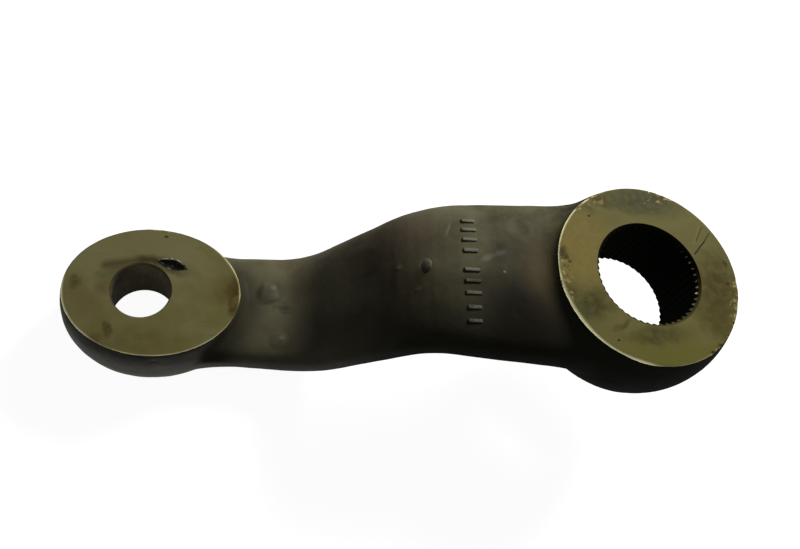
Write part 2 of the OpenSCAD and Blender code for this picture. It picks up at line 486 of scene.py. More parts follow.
# Unevenness of the skin: size of the patches, height, and the step along the seed
SKIN_ROLLS = [(15.0, 0.13, 1), (5.5, 0.05, -1), (2.2, 0.022, 2)]
PIT_SIZE = 3.1
PIT_DEPTH = 0.25
PIT_RARITY = 0.42
PIT_SEED = 3
DENTED_SIDE = 0.4


def uneven(at):
    """How far the forged skin stands out of true at a place."""
    lift = 0.0
    for size, height, step in SKIN_ROLLS:
        lift += height * noise.noise(at / size + step * SEED_SHIFT)
    pits = min(0.0, noise.noise(at / PIT_SIZE + PIT_SEED * SEED_SHIFT) + PIT_RARITY)
    return lift + PIT_DEPTH * pits


def dented(at, x, y, radius, depth):
    """How far one dent moves the skin at a place."""
    far = math.hypot(at.x - x, at.y - y) / radius
    if far >= LIP_END:
        return 0.0
    lip = smoothstep(LIP_START, LIP_CREST, far) * (1 - smoothstep(LIP_CREST, LIP_END, far))
    return depth * (LIP_HEIGHT * lip - 1 + smoothstep(DENT_FLOOR, 1.0, far))


def forge_skin(mesh):
    """The unevenness of a hammered and scaled surface, and the dents of use."""
    count = len(mesh.vertices)
    places, normals = np.empty(count * 3), np.empty(count * 3)
    mesh.vertices.foreach_get("co", places)
    mesh.vertices.foreach_get("normal", normals)
    places, normals = places.reshape(-1, 3) / MM, normals.reshape(-1, 3)
    lifts = np.empty(count)
    for i, place in enumerate(places):
        at = Vector(place)
        lifts[i] = uneven(at)
        if normals[i][2] > DENTED_SIDE:
            for dent in DENTS:
                lifts[i] += dented(at, *dent)
    places += normals * lifts[:, None]
    mesh.vertices.foreach_set("co", (places * MM).ravel())
    mesh.update()


# Milled faces: how the rim has worn, as (start, end, width, depth, shine) over angles in degrees,
# the shine being worn bright metal raised arc by arc as a painted highlight, and where it is
# chipped, as (start, end, reach, depth)
PLAIN_RIM = (0.50, 0.20, 0.22)
BIG_TOP_RIM = [
    (-84, 44, 0.95, 0.36, 1.00),
    (-4, 100, 1.65, 0.60, 1.00),
    (88, 136, 0.70, 0.26, 0.75),
]
BIG_TOP_CHIPS = [
    (-22, 28, 0.8, 0.12),
    (112, 190, 1.7, 0.36),
    (-124, -94, 2.7, 0.32),
    (-70, -36, 1.5, 0.18),
]
SMALL_TOP_RIM = [
    (-26, 70, 1.25, 0.50, 1.00),
    (44, 172, 0.80, 0.30, 0.95),
    (160, 240, 0.85, 0.36, 0.80),
]
SMALL_TOP_CHIPS = [
    (-104, -84, 0.9, 0.20),
]
FOOT_RIM = [(20, 120, 0.9, 0.30, 0.5), (220, 300, 0.8, 0.28, 0.4)]
BIG_FOOT_CHIPS = [(30, 70, 0.9, 0.2)]
SMALL_FOOT_CHIPS = [(200, 250, 0.8, 0.2)]

# How the rolled edge curves, how far past the rim it goes on, and the sizes of a chip's tears
ROLL_CURVE = 1.8
ROLL_PAST = 0.5
COARSE_TEAR = 2.6
FINE_TEAR = 0.8
DEEP_TEAR = 1.3

# The cut's rings, by distance outside the rim, and how high the cut reaches over the face
CUT_OUTS = [-6.0, -4.0, -3.2, -2.7, -2.3, -1.9, -1.6, -1.3, -1.05, -0.8, -0.6, -0.4, -0.2]
CUT_OUTS += [0.0, 0.25, 0.5, 1.2, 2.4]
LAST_ROLL = 0.6
CUT_HIGH = 6.0


def on_arc(degrees, start, end):
    """How far inside an arc of the rim an angle lies: 0 at its ends, 1 in its middle."""
    share = ((degrees - start) % 360) / (end - start)
    return math.sin(math.pi * share) if share < 1 else 0.0


class FaceMill:
    """A milled eye face: an oval plane whose rim rolls off, with chips where it was knocked."""

    def __init__(self, name, mid_x, a, b, z, up, rim, chips, seed):
        self.name, self.mid_x, self.a, self.b = name, mid_x, a, b
        self.z, self.up, self.rim, self.chips = z, up, rim, chips
        self.seed = seed

    def from_middle(self, turn):
        """The rim's point at an angle in radians, from the middle of the face."""
        return self.a * math.cos(turn), self.b * math.sin(turn)

    def offset(self, x, y):
        """Distance outside the rim, and the angle round it in degrees."""
        dx = x - self.mid_x
        turn = math.atan2(y / self.b, dx / self.a)
        return math.hypot(dx, y) - math.hypot(*self.from_middle(turn)), math.degrees(turn)

    def wear(self, degrees):
        """Width, depth and shine of the rolled edge at an angle; the shine is partly painted
        highlight.
        """
        width, depth, shine_and_highlight = PLAIN_RIM
        turn = math.radians(degrees)
        at = Vector((math.cos(turn), math.sin(turn), 0.0))
        drift = 1 + 0.35 * noise.noise(at * 3 + Vector((0, 0, self.seed)))
        for start, end, wide, deep, bright_and_highlight in self.rim:
            share = smoothstep(0.0, 0.75, on_arc(degrees, start, end))
            width += (wide - width) * share
            depth += (deep - depth) * share
            shine_and_highlight += (bright_and_highlight - shine_and_highlight) * share
        return width * drift, depth * drift, shine_and_highlight

    def chip(self, degrees, out):
        """Depth lost to chips at a distance from the rim."""
        lost = 0.0
        for start, end, reach, depth in self.chips:
            share = smoothstep(0.0, 0.5, on_arc(degrees, start, end))
            if share <= 0:
                continue
            at = Vector((*self.from_middle(math.radians(degrees)), self.seed))
            torn = noise.noise(at / COARSE_TEAR) + 0.45 * noise.noise(at / FINE_TEAR)
            deep = noise.noise(at / DEEP_TEAR + SEED_SHIFT)
            edge = reach * share * (0.12 + 1.25 * torn)
            if edge > 0:
                fall = smoothstep(-edge - 0.15, -edge + 0.45, out)
                lost = max(lost, depth * (0.8 + 0.6 * deep) * fall)
        return lost

    def roll(self, out, degrees):
        """How far across the rolled edge a point lies: 0 on the flat, 1 just past the rim."""
        width, _, _ = self.wear(degrees)
        return min(1.0, max(0.0, (out + width) / (width + ROLL_PAST)))

    def sink(self, out, degrees):
        """How far the cut lies under the plane at a distance from the rim."""
        _, depth, _ = self.wear(degrees)
        return depth * self.roll(out, degrees) ** ROLL_CURVE + self.chip(degrees, out)

    def cutter(self):
        """The closed solid that the mill sweeps away above the face."""
        rings = []
        for out in CUT_OUTS:
            ring = []
            for i in range(RIM_STEPS):
                turn = 2 * math.pi * i / RIM_STEPS
                x, y = self.from_middle(turn)
                edge = math.hypot(x, y)
                grow = (edge + out) / edge
                depth = self.sink(min(out, LAST_ROLL), math.degrees(turn))
                ring.append((self.mid_x + x * grow, y * grow, self.z - self.up * depth))
            rings.append(ring)
        rings.append([(x, y, self.z + self.up * CUT_HIGH) for x, y, _ in rings[-1]])
        return stacked(self.name + "_cut", rings)


FACES = [
    FaceMill("big_top", *BIG_OVAL, BIG_TOP, 1, BIG_TOP_RIM, BIG_TOP_CHIPS, 1.0),
    FaceMill("small_top", *SMALL_OVAL, SMALL_TOP, 1, SMALL_TOP_RIM, SMALL_TOP_CHIPS, 2.0),
    FaceMill("big_foot", *BIG_OVAL, BIG_FOOT, -1, FOOT_RIM, BIG_FOOT_CHIPS, 3.0),
    FaceMill("small_foot", *TUCKED_OVAL, SMALL_FOOT, -1, FOOT_RIM, SMALL_FOOT_CHIPS, 4.0),
]


# Bores

def tip_radius(z):
    return TIP_R + TOOTH_TAPER * (BIG_TOP - z)


def stud_radius(z):
    return STUD_R + STUD_TAPER * (SMALL_TOP - z)


def big_bore_tool():
    """The reamer that opens the big eye to its tooth tips, with both mouths countersunk."""
    over = 1.0
    foot_mouth = MOUTH_R + TOOTH_TAPER * (BIG_TOP - BIG_FOOT)
    return turned(
        "big_bore",
        0.0,
        [
            (foot_mouth + over, BIG_FOOT - over),
            (tip_radius(BIG_FOOT + MOUTH_DEPTH), BIG_FOOT + MOUTH_DEPTH),
            (tip_radius(BIG_TOP - MOUTH_DEPTH), BIG_TOP - MOUTH_DEPTH),
            (MOUTH_R + over, BIG_TOP + over),
        ],
        TOOTH_COUNT * 4,
    )


def stud_bore_tool():
    """The taper reamer for the ball stud, with its mouths broken."""
    over, edge = 1.0, STUD_CHAMFER
    return turned(
        "stud_bore",
        STUD_X,
        [
            (stud_radius(SMALL_FOOT) + edge + over, SMALL_FOOT - over),
            (stud_radius(SMALL_FOOT + edge), SMALL_FOOT + edge),
            (stud_radius(SMALL_TOP - edge), SMALL_TOP - edge),
            (stud_radius(SMALL_TOP) + edge + over, SMALL_TOP + over),
        ],
        STUD_STEPS,
    )


def serration_broach(material):
    """All the grooves between the teeth: one tapered wedge, repeated round the bore."""
    pitch = 2 * math.pi / TOOTH_COUNT
    inward, over = 0.06, 0.8
    rings = []
    for z in (BIG_FOOT - over, BIG_TOP + over):
        tip = tip_radius(z)
        slope = (1 - TIP_FLAT - ROOT_FLAT) / 2 / TOOTH_DEPTH
        half_root = ROOT_FLAT / 2
        half_mouth = half_root + slope * (TOOTH_DEPTH + inward)
        corners = [
            (tip - inward, half_mouth),
            (tip + TOOTH_DEPTH, half_root),
            (tip + TOOTH_DEPTH, -half_root),
            (tip - inward, -half_mouth),
        ]
        rings.append([(r * math.cos(s * pitch), r * math.sin(s * pitch), z) for r, s in corners])
    wedge = shown("wedge", stacked("wedge", rings))
    broach = Pattern("serration_broach", {"Wedge": "Object", "Teeth": "Int"})
    one = broach.shape_of("Wedge")
    points = broach.add("GeometryNodePoints", None, {"Count": broach.value("Teeth")})
    index = broach.add("GeometryNodeInputIndex")
    turn = index * (2 * math.pi) / broach.value("Teeth")
    sockets = {"Points": points, "Instance": one, "Rotation": broach.vector(z=turn)}
    set_round = broach.add("GeometryNodeInstanceOnPoints", None, sockets)
    broach.close(set_round, material)
    mesh = broach.grown("broach", {"Wedge": wedge, "Teeth": TOOTH_COUNT})
    bpy.data.objects.remove(wedge)
    return mesh


# Raised marks from the die, on the arm beside the big eye: plain bars and one round pip
MARK_X = 64.8
MARK_Y = [-17.6, -14.0, -10.0, -5.9, 1.5, 5.6, 9.9, 15.0, 19.6]
MARK_LONG = 5.6
MARK_WIDE = 1.6
MARK_HIGH = 1.8
MARK_SUNK = 0.30
PIP_AT = (80.2, -0.8)
PIP_R = 2.7
PIP_HIGH = 0.8
MARK_SPREAD = ((0.80, 0.78, 0.78), (1.08, 1.15, 1.0))
MARK_SEED = 7
DROP_FROM = 30.0
DROP_REACH = 100.0


def die_marks(skin, material):
    """Plain raised bars set square on the skin, and one round pip, as a closed mesh."""
    sizes = {"Long": MARK_LONG, "Wide": MARK_WIDE, "High": MARK_HIGH, "Sunk": MARK_SUNK}
    sizes |= {"Pip radius": PIP_R, "Pip height": PIP_HIGH}
    inputs = {"Skin": "Object", **dict.fromkeys(sizes, "Float"), "Seed": "Int"}
    die = Pattern("die_marks", inputs)
    target = die.shape_of("Skin")

    def points_at(places):
        """Points over these places on the arm."""
        spots = in_metres([(x, y, DROP_FROM) for x, y in places])
        points = [die.add("GeometryNodePoints", None, {"Count": 1, "Position": at}) for at in spots]
        return die.add("GeometryNodeJoinGeometry", None, {0: points})

    def set_on_skin(points, shape, spread):
        """The shape set square on the skin under each point, and sunk into it a little."""
        drop = {"Target Geometry": target, "Ray Direction": (0.0, 0.0, -1.0)}
        drop["Ray Length"] = DROP_REACH * MM
        place = die.add("GeometryNodeRaycast", None, drop, output="Hit Position")
        normal = die.add("GeometryNodeRaycast", None, drop, output="Hit Normal")
        sunk = die.vector_math("SCALE", normal, scale=die.value("Sunk") * -1.0)
        at = die.vector_math("ADD", place, sunk)
        along, side, height = die.parts(normal)
        lean_x = die.math("ARCTAN2", side, height) * -1.0
        lean_y = die.math("ARCTAN2", along, height)
        landed = die.add("GeometryNodeSetPosition", None, {"Geometry": points, "Position": at})
        sockets = {"Points": landed, "Instance": shape, "Rotation": die.vector(lean_x, lean_y)}
        sockets["Scale"] = spread
        return die.add("GeometryNodeInstanceOnPoints", None, sockets)

    sockets = {"Size": die.vector(die.value("Long"), die.value("Wide"), die.value("High"))}
    sockets |= {"Vertices X": 6, "Vertices Y": 3, "Vertices Z": 3}
    bar = die.add("GeometryNodeMeshCube", None, sockets)
    bar = die.add("GeometryNodeSubdivisionSurface", None, {"Mesh": bar, "Level": 2})
    sockets = {0: MARK_SPREAD[0], 1: MARK_SPREAD[1], "Seed": die.value("Seed")}
    spread = die.add("FunctionNodeRandomValue", {"data_type": "FLOAT_VECTOR"}, sockets)
    bars = set_on_skin(points_at([(MARK_X, y) for y in MARK_Y]), bar, spread)
    sockets = {"Segments": 36, "Rings": 18, "Radius": die.value("Pip radius")}
    pip = die.add("GeometryNodeMeshUVSphere", None, sockets)
    low = die.vector(1.0, 1.0, die.value("Pip height") / die.value("Pip radius"))
    pips = set_on_skin(points_at([PIP_AT]), pip, low)
    die.close(die.add("GeometryNodeJoinGeometry", None, {0: [bars, pips]}), material)
    values = {"Skin": skin, "Seed": MARK_SEED}
    values |= {label: size * MM for label, size in sizes.items()}
    return die.grown("die_marks", values)


# The gouge beside the stud bore, and the burr along it: how far each reaches, how slim the gouge
# gets towards its ends, and how ragged they are, as waves, height and step along the seed
GOUGE_AT = (164.0, -10.2)
GOUGE_LONG = 5.2
GOUGE_WIDE = 2.0
GOUGE_DEEP = 1.3
GOUGE_TURN = -14.0
GOUGE_SLIM = 0.35
GOUGE_TEARS = [(2.3, 0.30, 1), (5.1, 0.18, -1)]
BURR_WIDE = 0.65
BURR_HIGH = 0.32
BURR_LONG = 0.90
BURR_WAVES = 6.0
BURR_RAGGED = 0.9


def laid_in_gouge(name, place):
    """A ball with each point moved to its place along the gouge, as a closed mesh."""
    shape = bmesh.new()
    bmesh.ops.create_icosphere(shape, subdivisions=4, radius=1.0)
    turn = Matrix.Rotation(math.radians(GOUGE_TURN), 4, "Z")
    middle = Vector((*GOUGE_AT, SMALL_TOP))
    for vertex in shape.verts:
        vertex.co = (turn @ place(vertex.co) + middle) * MM
    return poured(name, shape)


def gouge_tool():
    """A ragged spindle, as a chisel's corner leaves when it is driven along the face."""

    def spindle(point):
        ragged = 1.0
        for waves, height, step in GOUGE_TEARS:
            ragged += height * noise.noise(point * waves + step * SEED_SHIFT)
        x, y, z = point * ragged
        slim = 1 - GOUGE_SLIM * x * x
        return Vector((x * GOUGE_LONG, y * GOUGE_WIDE * slim, z * GOUGE_DEEP * slim))

    return laid_in_gouge("gouge", spindle)


def gouge_burr():
    """The thin lip of metal that the chisel turned up along the gouge's far side."""

    def lip(point):
        x, y, z = point
        share = BURR_LONG * x
        edge = -GOUGE_WIDE * (1 - GOUGE_SLIM * share * share) * math.sqrt(1 - share * share)
        tear = noise.noise(Vector((x * BURR_WAVES, 0.0, 1.0)) + SEED_SHIFT)
        high = BURR_HIGH * (1 + BURR_RAGGED * tear)
        return Vector((share * GOUGE_LONG, edge + BURR_WIDE * y, high * z))

    return laid_in_gouge("burr", lip)


# Finishes

BLACK_SCALE = (0.0140, 0.0134, 0.0085)
TIP_SCALE = (0.0375, 0.0352, 0.0220)
EYE_LIT_SCALE = (0.0800, 0.0760, 0.0510)
WORN_AND_LIT_SCALE = (0.090, 0.082, 0.044)
RUST_SCALE = (0.058, 0.041, 0.026)
OLIVE_STEEL = (0.093, 0.082, 0.026)
GREY_STEEL = (0.124, 0.113, 0.050)
DULL_STEEL = (0.082, 0.076, 0.026)
WARM_STEEL = (0.148, 0.113, 0.034)
WORN_STEEL = (0.24, 0.22, 0.10)
BRIGHT_STEEL = (0.70, 0.66, 0.42)
CHIP_BROWN = (0.072, 0.052, 0.018)
CHIP_PALE = (0.250, 0.215, 0.090)
BROWN_STAIN = (0.030, 0.021, 0.009)
BLACK_STAIN = (0.006, 0.005, 0.003)
SCRATCH_GREY = (0.13, 0.125, 0.10)
OIL_SHADE = (0.060, 0.052, 0.020)
OIL_RING = (0.060, 0.050, 0.022)
OIL_SMEAR = (0.044, 0.039, 0.014)
OIL_GREY = (0.070, 0.060, 0.030)
MOUTH_BROWN = (0.055, 0.049, 0.020)
TOOTH_BRIGHT = (0.52, 0.49, 0.34)
STUD_BROWN = (0.178, 0.155, 0.088)
STUD_GREY = (0.305, 0.276, 0.178)
STUD_LIP = (0.075, 0.058, 0.025)
TORN_BLACK = (0.0060, 0.0052, 0.0035)
TORN_BRIGHT = (0.33, 0.31, 0.225)

# How far the painted shade in the corner round the small eye reaches on the skin, and the largest
# mark that keeps a clear outline on a milled face
CORNER_SHADE = 7.0
CLEAR_MARK = 1.5


# Brown oxide left on the skin: x, y, half-lengths, strength
BROWN_PATCHES = [
    (40.5, 0.0, 5.0, 15.0, 0.85),
    (86.0, -6.0, 11.0, 13.0, 0.45),
    (98.0, -12.0, 8.0, 10.0, 0.55),
    (117.0, 2.0, 3.5, 20.0, 0.60),
]


# Dust and thin rust rubbed into the skin, the grey patches on the far side also being painted sheen
# where the lamp falls: x, y, half-lengths, colour, strength
DUST_AND_SHEEN_GREY = (0.122, 0.114, 0.072)
FLANK_GREY = (0.085, 0.082, 0.062)
SKIN_TINTS = [
    (98.0, -19.0, 16.0, 8.0, DUST_AND_SHEEN_GREY, 0.24),
    (76.0, -23.0, 14.0, 8.0, DUST_AND_SHEEN_GREY, 0.60),
    (76.0, -4.0, 11.0, 8.0, DUST_AND_SHEEN_GREY, 0.22),
    (70.0, 18.0, 16.0, 8.0, DUST_AND_SHEEN_GREY, 0.06),
    (112.0, 24.0, 18.0, 8.0, DUST_AND_SHEEN_GREY, 0.20),
    (40.5, 2.0, 6.0, 13.0, (0.076, 0.056, 0.026), 0.42),
    (86.0, -16.0, 8.0, 9.0, (0.105, 0.080, 0.058), 0.55),
]


# Bare scuffs on the arm: x, y, half-lengths, turn, strength
SCUFFS = [
    (71.9, -14.2, 2.6, 0.50, 69.5, 0.65),
    (59.0, -3.5, 2.3, 1.00, 29.0, 0.55),
    (54.2, -5.6, 2.2, 0.85, 24.0, 0.40),
    (53.3, 1.6, 0.40, 0.36, 0.0, 1.30),
    (82.8, 7.4, 1.0, 0.40, 10.0, 0.28),
    (88.4, -1.8, 0.7, 0.50, 30.0, 0.45),
    (110.0, -17.7, 2.6, 0.40, 19.0, 0.45),
    (127.9, -6.6, 1.1, 0.75, 30.0, 0.40),
    (124.2, 13.0, 0.8, 0.60, 0.0, 0.60),
]


# Painted shade and soot on the arm: the broad patch on the near side by the big eye, and the
# strokes along the lump's edges that face the small eye and the near side, are painted shade: x, y,
# half-lengths, turn, strength
SOOT_AND_SHADE = [
    (130.4, -3.6, 3.6, 2.6, 60.0, 0.30),
    (132.4, -5.4, 3.2, 1.0, 75.0, 0.45),
    (128.2, -1.0, 3.0, 0.9, 20.0, 0.45),
    (124.4, 1.4, 3.0, 1.0, -8.0, 0.50),
    (123.6, 3.2, 2.2, 0.6, -8.0, 0.40),
    (49.0, 17.0, 13.0, 10.0, 0.0, 0.75),
]


def forged_skin_finish():
    """Oiled forging scale: black-brown, satin, rubbed to a greenish grey on the raised parts,
    lighter towards the far side as painted light and sheen.
    """
    skin = Finish("forged_skin", Metallic=0.0, Specular_IOR_Level=0.0, Coat_Roughness=0.40)
    broad = skin.grain(34, detail=2.0)
    mid = skin.grain(9, detail=4.0, shift=3.1)
    fine = skin.grain(1.5, detail=3.0, shift=5.3)
    speck = skin.grain(0.7, detail=1.0, shift=9.7)
    shaken, drifted = skin.wobble(2.0, 0.7), skin.wobble(16.0, 14.0)
    by_big_eye = skin.rise(skin.x, 64.0, 44.0)
    to_tip, to_eye = skin.rise(skin.x, 79.0, 118.0), skin.rise(skin.x, 133.0, 160.0)
    # Painted light and sheen: the rubbed greenish grey is laid mostly on the far side, where the
    # lamp falls, so it stands in for light there as well as dust and wear.
    dust_and_far_light = skin.rise(skin.y + by_big_eye * 10 + (broad - 0.5) * 20, 28.0, -20.0)
    dust_and_far_light = dust_and_far_light | skin.rise(skin.x, 112.0, 124.0) * 0.62
    rubbed = skin.rise(broad * 0.40 + mid * 0.60, 0.20, 0.66) * dust_and_far_light
    upper = skin.painted("upper")
    colour = skin.mix(to_tip, BLACK_SCALE, TIP_SCALE)
    # Painted light, in part: the skin lightens towards the small eye, standing in for the light its
    # walls catch from in front.
    colour = skin.mix(to_eye, colour, EYE_LIT_SCALE)
    colour = skin.mix(rubbed, colour, WORN_AND_LIT_SCALE)
    rusty = skin.rise(skin.grain(22, detail=3.0, shift=14.0), 0.52, 0.74) * 0.35
    for x, y, long, wide, strength in BROWN_PATCHES:
        rusty = rusty | skin.spot(drifted, x, y, long, wide, 0.0, 1.4) * strength
    colour = skin.mix(rusty * (0.1 + 0.9 * dust_and_far_light), colour, RUST_SCALE)
    # Painted sheen, in part: the grey tints along the far side stand in for the lamp's light there.
    for x, y, long, wide, shade, strength in SKIN_TINTS:
        tint = skin.spot(shaken, x, y, long, wide, 0.0, 1.6) * upper * strength
        colour = skin.mix(tint * (0.6 + 0.8 * mid) & 1.0, colour, shade)
    colour = skin.mix((1 - upper) * to_tip * 0.30, colour, FLANK_GREY)
    dirt = skin.rise(speck, 0.62, 0.76) * 0.20
    colour = skin.mix(dirt, colour, BLACK_STAIN)
    # Painted highlight, in part: the tops of the raised bars and the pip are lightened as bared
    # metal that also stands in for the light they catch.
    bared_and_highlit = skin.rise(fine * 0.5 + mid * 0.5, 0.36, 0.60)
    colour = skin.mix(skin.painted("proud") * (0.20 + 0.75 * bared_and_highlit), colour, SCRATCH_GREY)
    # Painted shade: the near side by the big eye and the shaded edges of the lump are blackened
    # here.
    for x, y, long, wide, turn, strength in SOOT_AND_SHADE:
        soot_and_shade = skin.spot(shaken, x, y, long, wide, turn, 1.4) * upper * strength
        colour = skin.mix(soot_and_shade, colour, BLACK_STAIN)
    for x, y, long, wide, turn, strength in SCUFFS:
        scuff = skin.spot(shaken, x, y, long, wide, turn, 1.4) * upper * strength
        colour = skin.mix(scuff * (0.5 + mid) & 1.0, colour, SCRATCH_GREY)
    # Painted shade: the skin is darkened in the corner where the small eye meets the arm, on its
    # near side, and its coat is thinned there.
    reach = (SMALL_A + CORNER_SHADE, SMALL_B + CORNER_SHADE)
    painted_corner_shade = skin.spot(skin.place, SMALL_MID_X, 0.0, *reach, 0.0, 0.25)
    painted_corner_shade = painted_corner_shade * skin.rise(upper, 0.25, 1.0) * skin.rise(skin.y, -22.0, -10.0)
    colour = skin.mix(painted_corner_shade * 0.75, colour, BLACK_SCALE)
    skin.feed("Base Color", colour)
    skin.feed("Roughness", 0.46 + 0.14 * mid + 0.08 * fine)
    oiled = (0.040 + 0.12 * to_tip + 0.10 * to_eye) * (0.6 + 0.8 * mid)
    skin.feed("Coat Weight", oiled * (1 - 0.85 * painted_corner_shade))
    skin.bump(fine * 0.6 + speck * 0.4, 0.16, 0.35)
    return skin.material


def milled_face_finish(name, marks, tint):
    """Milled steel under thin yellow oil: stains, scuffs, tool streaks and a rim worn bright,
    partly as a painted highlight.
    """
    steel = Finish(name, Specular_IOR_Level=0.0, Coat_Weight=0.018, Coat_Roughness=0.35)
    cloud = steel.grain(17, detail=3.0, shift=2.2)
    drift = steel.grain(8, detail=4.0, stretch=(1.8, 0.8, 1), shift=7.9)
    streak = steel.grain(2.2, detail=3.0, stretch=(6.0, 0.5, 1), shift=4.4)
    grit = steel.grain(0.8, detail=2.0, shift=6.1)
    colour = steel.mix(steel.rise(cloud, 0.30, 0.72), OLIVE_STEEL, tint)
    colour = steel.mix(steel.rise(drift, 0.45, 0.75) * 0.30, colour, GREY_STEEL)
    colour = steel.mix(steel.rise(streak, 0.58, 0.80) * 0.20, colour, BROWN_STAIN)
    shaken, steady = steel.wobble(4.5, 5.0), steel.wobble(3.5, 0.55)
    blotch = steel.rise(steel.grain(3.4, detail=4.0, roughness=0.65, shift=12.0), 0.28, 0.66)
    flake = steel.grain(1.9, detail=3.0, roughness=0.6, shift=17.0)
    stains = []
    for kind, shape, shade, strength in marks:
        if kind == "spot":
            small = max(shape[2], shape[3]) < CLEAR_MARK
            mark = steel.spot(steady if small else shaken, *shape) * strength
            mark = mark if small else mark * (0.45 + 0.75 * blotch) & 1.0
        elif kind == "flakes":
            band = steel.spot(steady, *shape) * strength
            colour = steel.mix(band * steel.rise(flake, 0.47, 0.38), colour, CHIP_BROWN)
            mark = band * steel.rise(flake, 0.54, 0.62)
        else:
            mark = steel.stroke(steady, *shape) * (0.55 + 0.9 * drift) * strength
        colour = steel.mix(mark, colour, shade)
        stains.append(mark)
    rim, torn = steel.painted("rim"), steel.painted("torn")
    # Painted highlight, in part: the rolled rim is worn bright, and set brighter arc by arc to
    # stand in for the light it catches.
    bright_and_highlight = steel.rise(rim + (grit - 0.5) * 0.12, 0.30, 0.95)
    colour = steel.mix(steel.rise(rim, 0.08, 0.55) * 0.8, colour, WORN_STEEL)
    colour = steel.mix(bright_and_highlight, colour, BRIGHT_STEEL)
    chipped = steel.rise(torn + (grit - 0.5) * 0.4, 0.25, 0.60)
    rough_chip = steel.mix(steel.rise(grit, 0.44, 0.60), CHIP_BROWN, CHIP_PALE)
    colour = steel.mix(chipped * 0.85, colour, rough_chip)
    steel.feed("Base Color", colour)
    dull = chipped
    for mark in stains:
        dull = dull | mark
    steel.feed("Metallic", 0.06 - 0.05 * dull + 0.6 * bright_and_highlight)
    steel.feed("Roughness", 0.50 + 0.12 * drift + 0.12 * dull - 0.14 * bright_and_highlight)
    steel.bump(streak * 0.5 + grit * 0.5, 0.05, 0.30)
    return steel.material


# Marks on the milled faces: kind, shape, colour, strength. A spot's shape, or that of a band of
# flakes, is x, y, half-lengths, turn and softness. A stroke's is both ends, width and softness
BIG_FACE_MARKS = [
    # Painted highlight, in part: the first spot, warm and lighter, lies over the big face's +x
    # half.
    ("spot", (25.5, -8.0, 11.0, 17.0, 0.0, 1.5), WARM_STEEL, 0.95),
    ("spot", (-3.0, 29.5, 18.0, 5.0, 0.0, 1.5), (0.096, 0.088, 0.019), 0.80),
    ("spot", (-1.0, -29.5, 15.0, 5.0, 0.0, 1.5), (0.050, 0.048, 0.022), 0.90),
    ("spot", (-26.0, 5.0, 13.0, 7.5, 85.0, 1.6), (0.054, 0.042, 0.014), 0.95),
    ("spot", (-22.0, 16.0, 8.0, 5.0, -50.0, 1.6), (0.058, 0.047, 0.014), 0.80),
    ("spot", (24.0, 13.0, 7.5, 5.0, 20.0, 1.6), (0.042, 0.040, 0.013), 0.85),
    ("spot", (31.0, 9.5, 3.4, 2.4, 60.0, 1.5), (0.050, 0.044, 0.013), 0.75),
    ("spot", (1.0, 23.6, 9.5, 2.8, 8.0, 1.6), OIL_SMEAR, 0.80),
    ("spot", (14.0, 20.6, 3.6, 0.9, 25.0, 1.3), OIL_SMEAR, 0.75),
    ("spot", (33.0, -6.4, 1.9, 3.0, 30.0, 0.9), BROWN_STAIN, 0.95),
    ("spot", (15.0, -28.5, 4.5, 2.0, -35.0, 1.0), (0.060, 0.048, 0.018), 0.80),
    ("spot", (20.0, -24.5, 3.0, 1.4, -45.0, 1.0), (0.058, 0.046, 0.018), 0.60),
    ("spot", (8.0, -25.5, 3.4, 0.9, -25.0, 1.0), (0.066, 0.058, 0.026), 0.60),
    ("spot", (-9.0, -32.0, 2.6, 1.0, 5.0, 1.0), (0.052, 0.040, 0.016), 0.75),
    ("stroke", (-27.6, -18.3, -24.4, -14.2, 0.36, 0.5), BLACK_STAIN, 0.80),
    ("stroke", (-24.6, -14.4, -19.6, -9.0, 0.42, 0.5), BLACK_STAIN, 0.95),
    ("stroke", (-24.0, -20.5, -20.2, -13.4, 0.8, 1.2), (0.150, 0.132, 0.060), 0.40),
    ("stroke", (-24.8, -20.4, -21.4, -14.6, 0.42, 0.8), BROWN_STAIN, 0.75),
    ("stroke", (1.0, -24.5, -5.5, -24.2, 1.0, 1.0), (0.050, 0.046, 0.026), 0.35),
    ("spot", (20.3, -21.2, 0.52, 0.40, 0.0, 0.7), BLACK_STAIN, 0.85),
    ("spot", (16.4, 25.9, 0.62, 0.36, 20.0, 0.7), BLACK_STAIN, 0.85),
    ("spot", (30.2, -2.4, 0.7, 0.5, 0.0, 0.7), BROWN_STAIN, 0.80),
    ("spot", (-30.6, 2.0, 0.9, 0.6, 40.0, 0.8), BROWN_STAIN, 0.85),
    ("spot", (-31.3, -6.0, 0.8, 1.3, 20.0, 0.8), BROWN_STAIN, 0.70),
    ("flakes", (31.9, 3.2, 1.7, 8.5, 6.0, 0.5), CHIP_PALE, 0.90),
    ("flakes", (-31.6, 9.0, 1.7, 9.0, -16.0, 0.5), CHIP_PALE, 0.60),
    ("flakes", (-10.0, -31.2, 7.0, 1.8, 17.0, 0.5), CHIP_PALE, 0.80),
    ("flakes", (15.5, -27.6, 5.0, 1.6, 30.0, 0.6), CHIP_PALE, 0.45),
]
